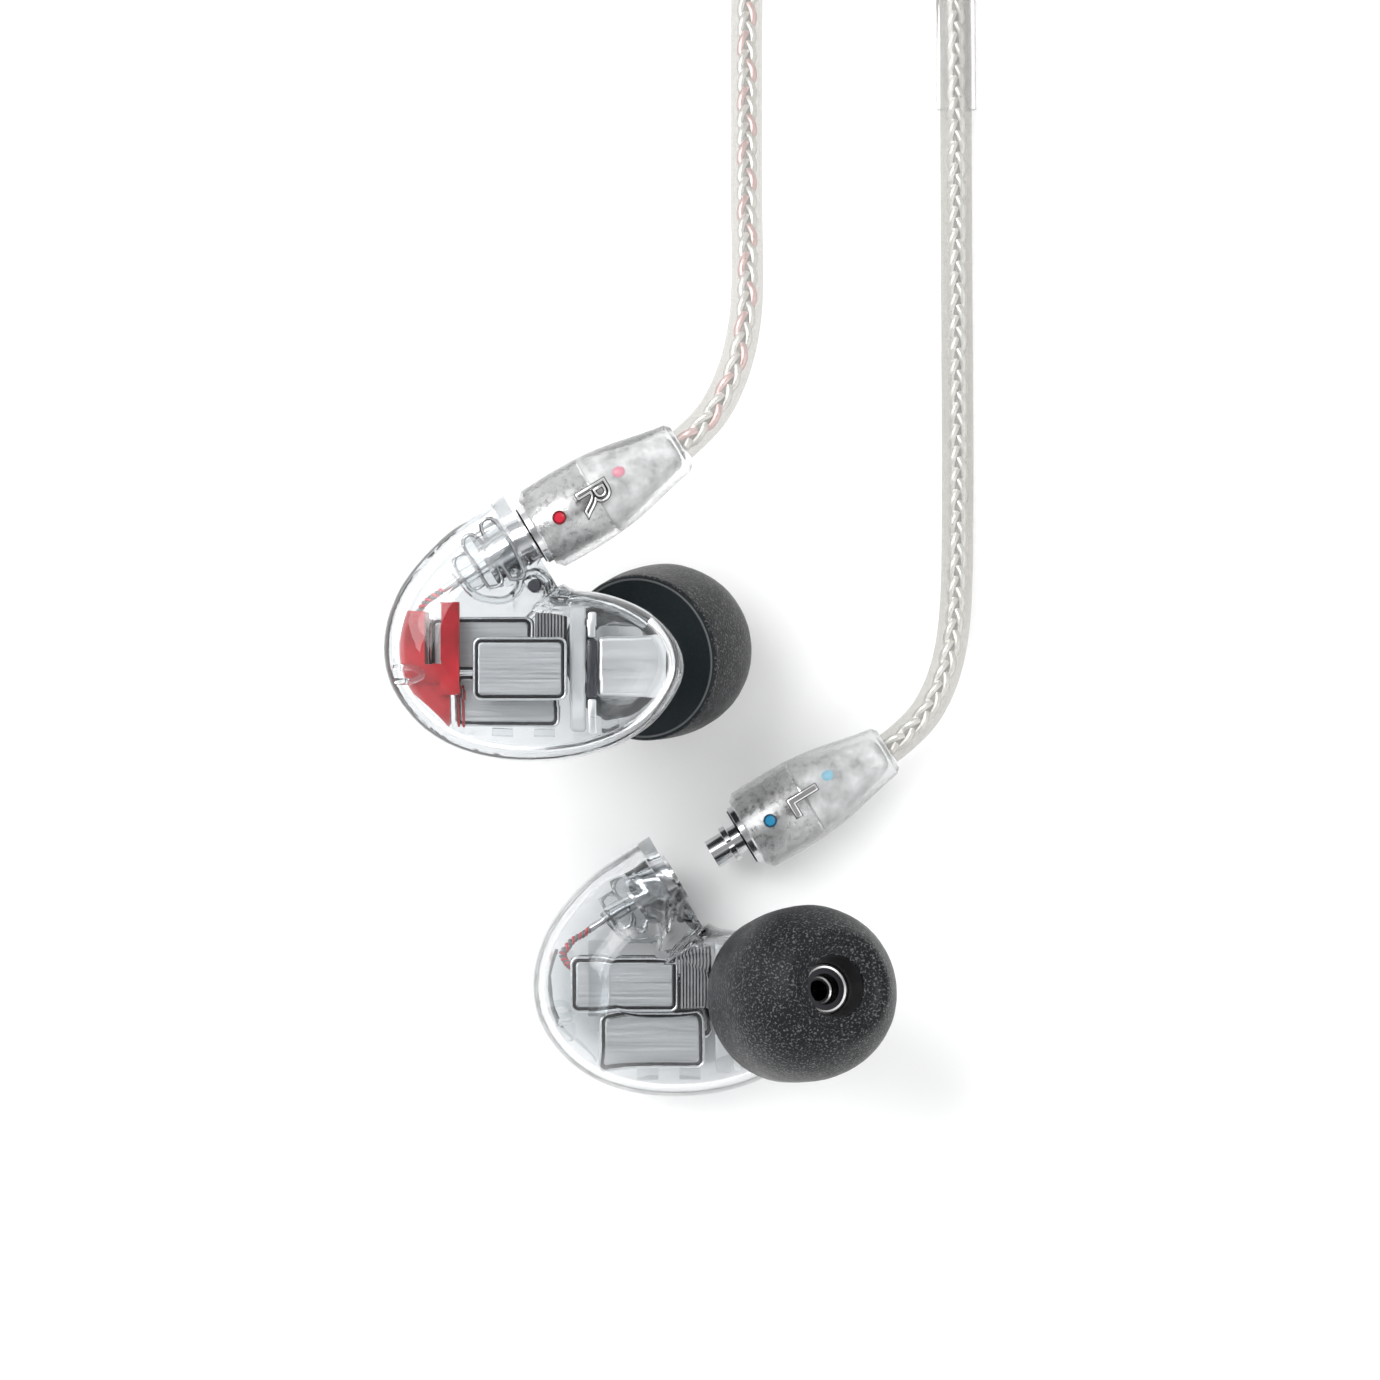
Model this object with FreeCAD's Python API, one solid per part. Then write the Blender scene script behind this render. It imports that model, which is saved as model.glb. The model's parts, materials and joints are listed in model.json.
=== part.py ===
import FreeCAD, Part
import math
import os

V = FreeCAD.Vector
os.makedirs("parts", exist_ok=True)

# A pair of wired in-ear monitors laid flat on a table, in millimetres.
# The right earpiece lies with its outer face up and leans on its foam tip, plugged into the cable.
# The left one is its mirror image: it lies on its outer face, nozzle up, pulled off its plug.
# X runs to the right, Y away from the user, Z up from the table.

# ---- layout ----
LAYOUT = V(3.825, 8.15, 0)        # shifts the whole layout, so that the origin is under the earpieces' middle
PLUG_TURN = 31.0                 # both plug axes, in degrees from X
RIGHT_SOCKET = V(-12.24, 11.55, 0)   # where the right plug axis meets the socket's face
LEFT_SOCKET = V(-1.25, -14.59, 0)
AXIS_DEPTH = 3.9                 # plug axis below the outer face
SEATED_GAP = 0.8                 # boot to housing when plugged in
LEFT_GAP = 6.7                   # boot to housing of the left earpiece, unplugged

# ---- housing, in the earpiece's own frame ----
# The origin is on the plug axis at the socket's face, and the outer face is at z 0.
WALL = 1.1
SPLIT = 3.9                      # depth of the seam between the two shells
GLUE_LINE = 0.03                 # the gap at the seam, which the glue fills
DEPTH = 12.5
CORE = V(-2.0, -7.5, 0)          # the point that the outline shrinks towards
OUTLINE = [
    (3.35, -2.55), (2.78, -3.52), (3.60, -3.93), (4.85, -4.10), (6.71, -4.50), (8.76, -5.36),
    (10.58, -6.86), (11.62, -8.60), (11.80, -10.15), (11.20, -11.80), (9.59, -13.90),
    (7.40, -15.40), (4.40, -16.50), (0.42, -17.01), (-3.67, -16.60), (-6.90, -15.30),
    (-9.25, -13.20), (-10.60, -10.90), (-11.02, -8.55), (-10.73, -6.20), (-9.73, -3.75),
    (-7.91, -1.33), (-5.48, 0.87), (-2.98, 2.50), (-0.40, 3.60), (0.90, 1.65), (2.15, -0.45),
]
# How far the outline has shrunk at each depth: over the body, the neck and the nozzle's end
LEVELS = [0.0, 0.35, 1.0, 2.2, 3.9, 5.5, 6.8, 8.0, 9.5, 11.0, 12.1, 12.5]
BODY = [0.60, 0.76, 0.88, 0.97, 1.0, 0.99, 0.96, 0.91, 0.82, 0.68, 0.50, 0.36]
NECK = [0.60, 0.76, 0.88, 0.97, 1.0, 0.98, 0.89, 0.68, 0.52, 0.41, 0.30, 0.22]
END = [0.60, 0.76, 0.88, 0.97, 1.0, 0.985, 0.955, 0.91, 0.83, 0.72, 0.53, 0.39]
NECK_AT, NECK_SPAN = 66.0, 50.0  # bearing of the neck from CORE and its reach to each side
END_AT, END_SPAN = -8.0, 45.0

# ---- nozzle and foam tip ----
TIP_LEAN = 26.0                  # nozzle axis from the depth direction
TIP_BEARING = 18.0
TIP_BASE = V(8.33, -9.10, -12.3)  # where the axis leaves the foam's flat back
NOZZLE_R, NOZZLE_BORE_R, NOZZLE_END = 1.9, 1.2, 7.5
NOZZLE_ROOT = -5.6
INSERT_R, INSERT_BORE_R = 1.17, 0.8
COLLAR_R = 3.3
BOSS_R, BOSS_TOP = 3.6, -1.5
TIP_CORE_R, TIP_CORE_BORE_R, TIP_CORE_LENGTH = 2.75, 1.98, 9.3
FOAM_BACK_R, FOAM_R, FOAM_LENGTH = 6.45, 6.75, 10.4

# ---- socket and plug, coaxial snap connector ----
FACE_FOOT = -4.4                 # where the flat face ends, across the plug axis
SOCKET_R, SOCKET_BORE_R, SOCKET_DEPTH, SOCKET_RIM = 1.88, 1.56, 2.9, 0.2
PLUG_PIN_R, PLUG_PIN_LENGTH = 1.16, 3.25
FLANGE_R, FLANGE_THICKNESS = 2.46, 0.42
GROOVE_R, GROOVE_AT, GROOVE_WIDTH = 0.9, 1.6, 0.56
RING_R, RING_WIRE = 1.49, 0.46
FERRULE_R, FERRULE_LENGTH = 2.1, 5.2
BOOT_R, BOOT_END_R, BOOT_LENGTH = 3.3, 1.95, 12.7

# ---- cable ----
CORD_D = 2.5
CORD_R = CORD_D / 2
SLEEVE_R, SLEEVE_LENGTH = 1.55, 12.0
COIL_AT = V(-4.1, 122.0, 0)
COIL_BASE = 0.6                  # the tie's thickness under the turns
COIL_COLUMNS, COIL_LAYERS = 3, 5
COIL_INNER_R = 10.25
COIL_OUTER_R = COIL_INNER_R + COIL_COLUMNS * CORD_D
COIL_TOP = COIL_BASE + COIL_LAYERS * CORD_D
PAIR_X = (12.4, 15.0)            # the two ear cords where they run side by side
SPLIT_OFFSET, SPLIT_SIZE = -5.0, V(4.0, 11.0, 6.2)
SLIDER_Y, SLIDER_SIZE = 92.5, V(7.2, 8.0, 4.2)
PLUG_AXIS_Z = 2.9
TIE_BEARING = 300.0               # where the strap goes round the coil
JACK_R, JACK_BORE_R, JACK_GRIP_R = 1.75, 1.0, 2.8


def rotated(shape, degrees, axis=V(0, 0, 1)):
    turned = shape.copy()
    turned.rotate(V(0, 0, 0), axis, degrees)
    return turned


def moved(shape, by):
    there = shape.copy()
    there.translate(by)
    return there


def rod(radius, start, end, direction, origin=V(0, 0, 0)):
    """A cylinder along direction, from start to end as measured from origin."""
    return Part.makeCylinder(radius, end - start, origin + direction * start, direction)


def tube(radius, bore, start, end, direction, origin=V(0, 0, 0)):
    outer = rod(radius, start, end, direction, origin)
    return outer.cut(rod(bore, start - 1, end + 1, direction, origin))


def block(x0, x1, y0, y1, near, far, corner=0.0):
    """A box between two depths below the outer face, with rounded edges if corner is given."""
    solid = Part.makeBox(x1 - x0, y1 - y0, far - near, V(x0, y0, -far))
    return solid.makeFillet(corner, solid.Edges) if corner else solid


def turned_profile(points, rounded=()):
    """A solid of revolution about X from (x, radius) points. Those named in rounded join by a curve."""
    edges = []
    run = []
    for i, point in enumerate(points):
        here = V(point[0], point[1], 0)
        run.append(here)
        last = i == len(points) - 1
        if last or i not in rounded:
            if len(run) == 2:
                edges.append(Part.LineSegment(run[0], run[1]).toShape())
            elif len(run) > 2:
                curve = Part.BSplineCurve()
                curve.interpolate(run)
                edges.append(curve.toShape())
            run = [here]
    first = V(points[0][0], points[0][1], 0)
    edges.append(Part.LineSegment(V(points[-1][0], points[-1][1], 0), first).toShape())
    face = Part.Face(Part.Wire(edges))
    return face.revolve(V(0, 0, 0), V(1, 0, 0), 360)


# ---- the two shells ----
def bump(bearing, centre, span):
    """1 at centre, falling smoothly to 0 at span degrees to each side."""
    away = abs((bearing - centre + 180) % 360 - 180)
    return 0.0 if away >= span else 0.5 + 0.5 * math.cos(math.pi * away / span)


def shrink(index, bearing):
    neck = bump(bearing, NECK_AT, NECK_SPAN)
    end = bump(bearing, END_AT, END_SPAN)
    return BODY[index] + neck * (NECK[index] - BODY[index]) + end * (END[index] - BODY[index])


def section(index, inset, depth):
    """The closed outline at one level, drawn in by inset all round."""
    points = []
    for x, y in OUTLINE:
        arm = V(x, y, 0) - CORE
        bearing = math.degrees(math.atan2(arm.y, arm.x))
        reach = (arm.Length - inset) * shrink(index, bearing)
        points.append(CORE + arm.normalize() * reach + V(0, 0, -depth))
    curve = Part.BSplineCurve()
    curve.interpolate(Points=points, PeriodicFlag=True)
    return Part.Wire([curve.toShape()])


def skin(inset):
    """The housing's shape, or its cavity when inset is the wall."""
    squeeze = (DEPTH - 2 * inset) / DEPTH
    wires = [section(i, inset, inset + level * squeeze) for i, level in enumerate(LEVELS)]
    return Part.makeLoft(wires, True, False)


def plug_direction():
    turn = math.radians(PLUG_TURN)
    return V(math.cos(turn), math.sin(turn), 0)


def tip_direction():
    lean = math.radians(TIP_LEAN)
    bearing = math.radians(TIP_BEARING)
    return V(math.sin(lean) * math.cos(bearing), math.sin(lean) * math.sin(bearing), -math.cos(lean))


ALONG = plug_direction()
TIP = tip_direction()
SOCKET_AT = V(0, 0, -AXIS_DEPTH)


def beyond_face(offset):
    """The space past the neck's flat face, set back by offset."""
    slab = Part.makeBox(12, 40, 40, V(0, FACE_FOOT, -20))
    return moved(rotated(slab, PLUG_TURN), SOCKET_AT - ALONG * offset)


def cavity(inset):
    return skin(inset).cut(beyond_face(inset))


def fitted(shape):
    """A moulded part trimmed to lie just inside the cavity's wall."""
    return shape.common(cavity(WALL + 0.06))


def shells():
    outside = skin(0.0).cut(beyond_face(0.0))
    boss = rod(BOSS_R, -6.0, BOSS_TOP, TIP, TIP_BASE)
    above = Part.makeBox(60, 60, 20, V(-30, -40, GLUE_LINE / 2 - SPLIT))
    below = Part.makeBox(60, 60, 20, V(-30, -40, -GLUE_LINE / 2 - SPLIT - 20))
    bores = rod(SOCKET_R + 0.02, -3.2, 2.0, ALONG, SOCKET_AT)
    bores = bores.fuse(rod(NOZZLE_R + 0.03, -7.0, 2.0, TIP, TIP_BASE))
    bores = bores.fuse(rod(COLLAR_R + 0.15, BOSS_TOP, 3.0, TIP, TIP_BASE))
    whole = outside.fuse(boss).cut(cavity(WALL)).cut(bores)
    return whole.common(above), whole.common(below)


# ---- what the housing holds ----
def cans():
    low = block(-7.70, 0.30, -10.15, -6.05, 4.5, 9.4, 0.5)
    middle = block(-5.60, 2.30, -14.40, -10.35, 4.5, 7.6, 0.5)
    high = block(-4.10, 2.90, -12.30, -7.60, 1.45, 4.2, 0.5)
    return low, middle, high


def filter_plates():
    plates = [block(x, x + 0.14, -9.95, -5.60, 4.5, 9.4) for x in (0.55 + 0.25 * i for i in range(9))]
    return Part.makeCompound(plates)


def cradle():
    """The moulded cradle that holds the low and middle drivers."""
    parts = [
        block(-9.75, -7.80, -9.60, -5.60, 2.6, 7.4),
        block(-6.60, -5.20, -11.90, -4.90, 2.2, 4.4),
        block(-9.75, -5.20, -11.00, -9.60, 2.6, 4.4),
        block(-9.75, -7.80, -11.00, -9.60, 4.4, 7.4),
    ]
    corners = [V(-9.3, -11.0, -4.4), V(-5.9, -11.0, -4.4), V(-5.9, -14.2, -4.4), V(-9.3, -11.0, -4.4)]
    wedge = Part.Face(Part.makePolygon(corners)).extrude(V(0, 0, 1.6))
    whole = parts[0]
    for piece in parts[1:] + [wedge]:
        whole = whole.fuse(piece)
    return fitted(whole.removeSplitter())


def gasket():
    """The bulkhead between the filter stack and the manifold, with its sound window."""
    plate = block(3.15, 4.35, -14.6, -5.2, 2.2, 9.4, 0.3)
    plate = plate.cut(block(2.0, 6.0, -11.4, -8.0, 4.8, 7.6))
    return fitted(plate.cut(rod(NOZZLE_R + 0.05, NOZZLE_ROOT - 0.5, 0, TIP, TIP_BASE)))


def manifold():
    """The metal block that joins the drivers' outlets to the nozzle."""
    solid = block(5.3, 10.2, -12.0, -7.5, 2.3, 5.6, 0.35)
    return fitted(solid.cut(rod(1.1, -12.0, 0.0, TIP, TIP_BASE)))


def ribs():
    """Clear posts and clips that locate the parts."""
    places = [
        (5.5, 6.8, -7.2, -5.8, 2.6, 6.0),
        (5.5, 6.8, -14.6, -12.3, 2.6, 6.0),
        (-2.8, -1.2, -15.2, -14.6, 4.4, 6.4),
        (0.4, 2.0, -15.2, -14.6, 4.4, 6.4),
        (-9.0, -7.6, -12.4, -11.3, 4.6, 6.2),
    ]
    return Part.makeCompound([fitted(block(*place)) for place in places])


def socket():
    body = tube(SOCKET_R, SOCKET_BORE_R, -SOCKET_DEPTH, SOCKET_RIM, ALONG, SOCKET_AT)
    back = tube(SOCKET_R, 0.75, -SOCKET_DEPTH - 0.5, -SOCKET_DEPTH, ALONG, SOCKET_AT)
    return body.fuse(back).removeSplitter()


def socket_contact():
    """Insulating bush, with the rear solder pin through it."""
    bush = tube(0.73, 0.32, -SOCKET_DEPTH - 0.9, -SOCKET_DEPTH, ALONG, SOCKET_AT)
    pin = rod(0.31, -7.6, -SOCKET_DEPTH + 0.35, ALONG, SOCKET_AT)
    pin = pin.fuse(rod(0.09, -SOCKET_DEPTH, -1.8, ALONG, SOCKET_AT))
    return Part.makeCompound([bush, pin])


def socket_carrier():
    """The stepped clear block that holds the socket."""
    steps = [(2.45, -3.30, -1.30), (2.05, -4.60, -3.30), (1.45, -5.90, -4.60)]
    whole = None
    for half, start, end in steps:
        step = Part.makeBox(end - start, 2 * half, 2 * min(half, 2.3), V(start, -half, -min(half, 2.3)))
        whole = step if whole is None else whole.fuse(step)
    whole = moved(rotated(whole.removeSplitter(), PLUG_TURN), SOCKET_AT)
    whole = whole.cut(rod(SOCKET_R + 0.02, -3.45, 1.0, ALONG, SOCKET_AT))
    return fitted(whole.cut(rod(0.78, -8.0, -3.0, ALONG, SOCKET_AT)))


def bent_tube(points, radius, name=None):
    """Straight runs joined by tangent arcs, each arc as large as its two runs allow."""
    edges = []
    radii = []
    start = points[0]
    length = 0.0
    for i in range(1, len(points) - 1):
        before = points[i] - points[i - 1]
        after = points[i + 1] - points[i]
        shorter = min(before.Length, after.Length)
        half = before.getAngle(after) / 2
        arc_r = 0.45 * shorter / math.tan(half)
        radii.append(arc_r)
        into = V(before).normalize()
        out = V(after).normalize()
        first = points[i] - into * 0.45 * shorter
        last = points[i] + out * 0.45 * shorter
        inward = V(out - into).normalize()
        middle = points[i] + inward * (arc_r / math.cos(half) - arc_r)
        edges.append(Part.LineSegment(start, first).toShape())
        edges.append(Part.Arc(first, middle, last).toShape())
        length += (first - start).Length + arc_r * 2 * half
        start = last
    edges.append(Part.LineSegment(start, points[-1]).toShape())
    length += (points[-1] - start).Length
    path = Part.Wire(edges)
    circle = Part.Wire([Part.Circle(points[0], points[1] - points[0], radius).toShape()])
    solid = path.makePipeShell([circle], True, False)
    if name:
        share = solid.Volume / (math.pi * radius * radius * length)
        small = ", ".join(f"{r:.1f}" for r in radii)
        print(f"{name}: length {length:.1f}, volume over section times length {share:.4f}, radii {small}")
    return solid


def signal_wires():
    """Two thin wires from the socket's pins to the drivers."""
    start = SOCKET_AT - ALONG * 7.65
    live = bent_tube([start, start + V(-0.7, -0.5, 0.1), start + V(-1.3, -1.3, 0.0)], 0.15)
    low = V(0.25, -0.35, -0.35)
    ground = bent_tube([start + low, start + low + V(-0.6, -0.6, 0), start + low + V(-1.1, -1.4, 0.2)], 0.15)
    return Part.makeCompound([live, ground])


def nozzle_parts():
    barrel = tube(NOZZLE_R, NOZZLE_BORE_R, NOZZLE_ROOT, NOZZLE_END, TIP, TIP_BASE)
    insert = tube(INSERT_R, INSERT_BORE_R, -4.0, NOZZLE_END - 1.2, TIP, TIP_BASE)
    collar = tube(COLLAR_R, NOZZLE_R + 0.04, BOSS_TOP + 0.02, -0.12, TIP, TIP_BASE)
    return barrel, insert, collar


def foam_tip():
    bore = TIP_CORE_R
    profile = [
        (0.0, bore), (0.0, FOAM_BACK_R - 0.25), (0.25, FOAM_BACK_R), (2.4, FOAM_R - 0.05),
        (4.9, FOAM_R), (7.3, 6.25), (9.2, 5.15), (FOAM_LENGTH - 0.1, 4.2), (FOAM_LENGTH, 3.75),
        (FOAM_LENGTH - 0.25, 3.35), (TIP_CORE_LENGTH + 0.35, bore),
    ]
    foam = turned_profile(profile, rounded=(3, 4, 5, 6, 7, 8, 9))
    core = turned_profile([
        (0.1, TIP_CORE_BORE_R), (0.1, bore), (TIP_CORE_LENGTH, bore),
        (TIP_CORE_LENGTH, TIP_CORE_BORE_R + 0.35), (TIP_CORE_LENGTH - 1.2, TIP_CORE_BORE_R),
    ])
    return aimed(foam), aimed(core)


def aimed(shape):
    """Turns a shape built along X onto the nozzle's axis."""
    lifted = rotated(shape, 90.0 - TIP_LEAN, V(0, 1, 0))
    return moved(rotated(lifted, TIP_BEARING), TIP_BASE)


def earpiece():
    """Every node of one earpiece in its own frame."""
    outer, inner = shells()
    low, middle, high = cans()
    barrel, insert, collar = nozzle_parts()
    foam, core = foam_tip()
    return {
        "outer_shell": outer, "inner_shell": inner, "socket": socket(), "socket_contact": socket_contact(),
        "socket_carrier": socket_carrier(), "signal_wires": signal_wires(), "low_driver": low,
        "middle_driver": middle, "high_driver": high, "filter_plates": filter_plates(), "cradle": cradle(),
        "gasket": gasket(), "manifold": manifold(), "locating_ribs": ribs(), "nozzle": barrel,
        "nozzle_insert": insert, "nozzle_collar": collar, "tip_core": core, "foam_tip": foam,
    }


# ---- the plugs at the cable's ends, along X with the boot's base at 0 ----
def letter(name):
    """Raised strokes of a plain letter, standing across the boot."""
    thick = 0.34
    if name == "R":
        bowl = [(0, 2.2, 1.0, 2.2), (1.0, 2.2, 1.0, 1.15), (0, 1.15, 1.0, 1.15)]
        strokes = [(0, 0, 0, 2.2)] + bowl + [(0.4, 1.15, 1.15, 0)]
    else:
        strokes = [(0, 0, 0, 2.2), (0, 0, 1.25, 0)]
    whole = None
    for x0, y0, x1, y1 in strokes:
        run = V(x1 - x0, y1 - y0, 0)
        bar = Part.makeBox(run.Length + thick, thick, 0.5, V(-thick / 2, -thick / 2, 0))
        bar = moved(rotated(bar, math.degrees(math.atan2(run.y, run.x))), V(x0, y0, 0))
        whole = bar if whole is None else whole.fuse(bar)
    return whole.removeSplitter()


def plug_nodes(name):
    x = V(1, 0, 0)
    pin = rod(PLUG_PIN_R, -PLUG_PIN_LENGTH, 0, x)
    groove = tube(PLUG_PIN_R + 1, GROOVE_R, -GROOVE_AT - GROOVE_WIDTH / 2, -GROOVE_AT + GROOVE_WIDTH / 2, x)
    flange = rod(FLANGE_R, -FLANGE_THICKNESS, 0, x)
    body = pin.cut(groove).fuse(flange).fuse(rod(FERRULE_R, 0, FERRULE_LENGTH, x)).removeSplitter()
    body = body.cut(rod(0.6, -PLUG_PIN_LENGTH - 1, -0.6, x))
    ring = tube(RING_R, GROOVE_R + 0.08, -GROOVE_AT - RING_WIRE / 2, -GROOVE_AT + RING_WIRE / 2, x)
    ring = ring.cut(Part.makeBox(3, 0.7, 3, V(-3, -0.35, 0)))
    contact = Part.makeCompound([
        tube(0.57, 0.26, -PLUG_PIN_LENGTH + 0.8, -0.65, x),
        tube(0.25, 0.12, -PLUG_PIN_LENGTH + 0.45, -0.65, x),
    ])
    shape = turned_profile([
        (0.0, FERRULE_R + 0.02), (0.0, BOOT_R - 0.5), (0.5, BOOT_R), (2.8, BOOT_R + 0.07), (5.2, BOOT_R),
        (7.6, BOOT_R - 0.28), (10.0, BOOT_R - 0.8), (BOOT_LENGTH - 0.35, BOOT_END_R + 0.1),
        (BOOT_LENGTH, BOOT_END_R - 0.25), (BOOT_LENGTH, 0.0), (FERRULE_LENGTH + 0.02, 0.0),
        (FERRULE_LENGTH + 0.02, FERRULE_R + 0.02),
    ], rounded=(3, 4, 5, 6))
    dot = rod(0.53, BOOT_R - 0.35, BOOT_R + 0.12, V(0, 0, 1), V(2.0, -0.3, 0))
    sign = moved(rotated(letter(name), -90), V(3.7, 0.35, BOOT_R - 0.4))
    mark = Part.makeCompound([dot, sign])
    return {"plug_body": body, "snap_ring": ring, "plug_contact": contact, "boot": shape, "boot_mark": mark}


# ---- the cable ----
def boot_end(socket_at, gap, height):
    return socket_at + ALONG * (gap + BOOT_LENGTH) + V(0, 0, height)


COIL_Z = COIL_BASE + CORD_R      # the lowest layer's axis
THREADED_Z = 2.1                 # cords' height through the slider
SLEEVE_RUNS = (                  # the straight runs that carry the clear sleeves, right and left
    (V(5.60, 63.0, 1.75), V(10.60, 81.2, 1.85)),
    (V(20.84, 31.0, 1.6), V(20.72, 58.0, 1.6)),
)
SLEEVE_OFFSETS = (2.6, 14.3)     # from the start of each run to its sleeve


def right_route(height):
    return [
        boot_end(RIGHT_SOCKET, SEATED_GAP, height),
        V(1.12, 20.08, height - 0.05), V(2.50, 22.12, height - 0.35),
        V(3.67, 25.09, height - 1.0), V(4.30, 28.43, height - 2.2), V(4.42, 32.2, height - 3.9),
        V(4.33, 36.6, height - 6.3), V(4.36, 41.4, height - 9.2), V(4.38, 46.2, height - 12.1),
        V(4.41, 51.2, height - 14.7), V(4.46, 56.6, 2.9), SLEEVE_RUNS[0][0], SLEEVE_RUNS[0][1],
        V(PAIR_X[0] - 0.12, 89.0, THREADED_Z), V(PAIR_X[0] + 0.02, 97.5, THREADED_Z),
        V(PAIR_X[0] - 0.03, 107.5, THREADED_Z), V(PAIR_X[0], 117.0, COIL_Z),
    ]


def left_route():
    return [
        boot_end(LEFT_SOCKET, LEFT_GAP, AXIS_DEPTH), V(17.30, -3.15, 3.85), V(18.98, -0.92, 3.6),
        V(20.10, 1.95, 3.1), V(20.68, 5.3, 2.5), V(20.88, 9.6, 2.0), V(20.93, 17.5, 1.65), SLEEVE_RUNS[1][0],
        SLEEVE_RUNS[1][1], V(20.0, 68.0, 1.65), V(16.8, 82.0, 1.9), V(PAIR_X[1] + 0.12, 90.0, THREADED_Z),
        V(PAIR_X[1] - 0.02, 99.0, THREADED_Z), V(PAIR_X[1] + 0.03, 109.5, THREADED_Z + 0.1),
        V(PAIR_X[1] - 1.7, 119.0, COIL_Z + CORD_D - 0.1),
    ]


def around_coil(bearing, radius, height):
    turn = math.radians(bearing)
    return COIL_AT + V(radius * math.cos(turn), radius * math.sin(turn), height)


LEAD_R = COIL_OUTER_R + CORD_R + 0.3


def lead_route():
    """The cable's last turn, down round the outside of the coil to the plug beside it."""
    top = COIL_TOP - CORD_R
    down = [(6, 18.1, top), (26, 18.9, top - 0.8)]
    down += [(26 + 27 * i, LEAD_R, top - 0.8 - 1.6 * i) for i in range(1, 6)]
    points = [around_coil(*place) for place in down]
    west = COIL_AT.x - LEAD_R
    beside = [(-0.15, -0.4, COIL_Z + 0.2), (0.2, -9.0, 1.9), (0.25, -15.8, PLUG_AXIS_Z)]
    return points + [V(west + x, COIL_AT.y + y, height) for x, y, height in beside]


def coil():
    """The outer shape of the put-away turns, with the short stretches between them and the Y-split."""
    ring = tube(COIL_OUTER_R, COIL_INNER_R, COIL_BASE, COIL_TOP, V(0, 0, 1), COIL_AT)
    half = SPLIT_SIZE.y / 2
    at = COIL_AT + V(SPLIT_OFFSET, 0, 0)
    for height in (COIL_Z, COIL_Z + CORD_D):
        ring = ring.fuse(rod(CORD_R - 0.03, half, half + 4.5, V(0, 1, 0), at + V(0, 0, height)))
    return ring.fuse(rod(CORD_R - 0.03, half, half + 4.5, V(0, -1, 0), at + V(0, 0, COIL_Z + CORD_R)))


def y_split():
    low = COIL_AT + V(SPLIT_OFFSET - SPLIT_SIZE.x / 2, -SPLIT_SIZE.y / 2, 0)
    solid = Part.makeBox(SPLIT_SIZE.x, SPLIT_SIZE.y, SPLIT_SIZE.z, low)
    return solid.makeFillet(0.8, solid.Edges)


def slider():
    middle = (PAIR_X[0] + PAIR_X[1]) / 2
    corner = V(middle - SLIDER_SIZE.x / 2, SLIDER_Y, 0)
    solid = Part.makeBox(SLIDER_SIZE.x, SLIDER_SIZE.y, SLIDER_SIZE.z, corner)
    solid = solid.makeFillet(0.7, solid.Edges)
    return solid.cut(Part.makeBox(5.9, 30, 2.9, V(middle - 2.95, SLIDER_Y - 5, THREADED_Z - 1.45)))


def tie():
    """A strap round the bundle of turns, at the coil's far side."""
    width, thick = 5.0, 0.55
    slack = 0.05
    radial = COIL_OUTER_R - COIL_INNER_R + 2 * slack
    high = COIL_TOP - COIL_BASE + 2 * slack
    corner = V(COIL_INNER_R - slack, -width / 2, COIL_BASE - slack)
    inner = Part.makeBox(radial, width, high, corner)
    outer = Part.makeBox(radial + 2 * thick, width, high + 2 * thick, corner - V(thick, 0, thick))
    return moved(rotated(outer.cut(inner), TIE_BEARING), COIL_AT)


def jack_nodes():
    """A straight 3.5 mm stereo plug, along X from the end of its strain relief."""
    x = V(1, 0, 0)
    relief_end, grip_end = 7.0, 22.0
    relief = turned_profile([(0, 0.0), (0, 1.7), (relief_end, 2.1), (relief_end, 0.0)])
    grip = turned_profile([
        (relief_end, 0.0), (relief_end, 2.4), (relief_end + 0.5, JACK_GRIP_R),
        (grip_end - 0.5, JACK_GRIP_R), (grip_end, 2.4), (grip_end, 0.0),
    ])
    sleeve_end, ring_start, ring_end, tip_start = (grip_end + d for d in (6.0, 6.6, 8.9, 9.5))
    tip = turned_profile([
        (tip_start, 0.0), (tip_start, 1.2), (tip_start + 0.9, JACK_R), (tip_start + 2.1, 1.45),
        (tip_start + 3.7, JACK_R), (tip_start + 4.5, 0.7), (tip_start + 4.5, 0.0),
    ])
    contacts = [
        rod(JACK_R, grip_end, sleeve_end, x).cut(rod(JACK_BORE_R, grip_end + 1.0, sleeve_end + 1.0, x)),
        tube(JACK_R, JACK_BORE_R, ring_start, ring_end, x),
        tip,
    ]
    insulators = [
        tube(JACK_R, JACK_BORE_R, sleeve_end, ring_start, x),
        tube(JACK_R, JACK_BORE_R, ring_end, tip_start, x),
        rod(JACK_BORE_R - 0.02, grip_end + 1.0, tip_start, x),
    ]
    return {
        "plug_relief": relief, "plug_grip": grip, "plug_contacts": Part.makeCompound(contacts),
        "plug_insulators": Part.makeCompound(insulators),
    }


# ---- put everything in place ----
nodes = {}
ear = earpiece()
tip_low = -min(ear["foam_tip"].BoundBox.ZMin, ear["tip_core"].BoundBox.ZMin)
right_height = tip_low - AXIS_DEPTH       # the right plug's height, its tip on the table
for name, shape in ear.items():
    nodes["right_" + name] = moved(shape, RIGHT_SOCKET + V(0, 0, tip_low))
    nodes["left_" + name] = moved(shape.mirror(V(0, 0, 0), V(0, 0, 1)), LEFT_SOCKET)

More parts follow.
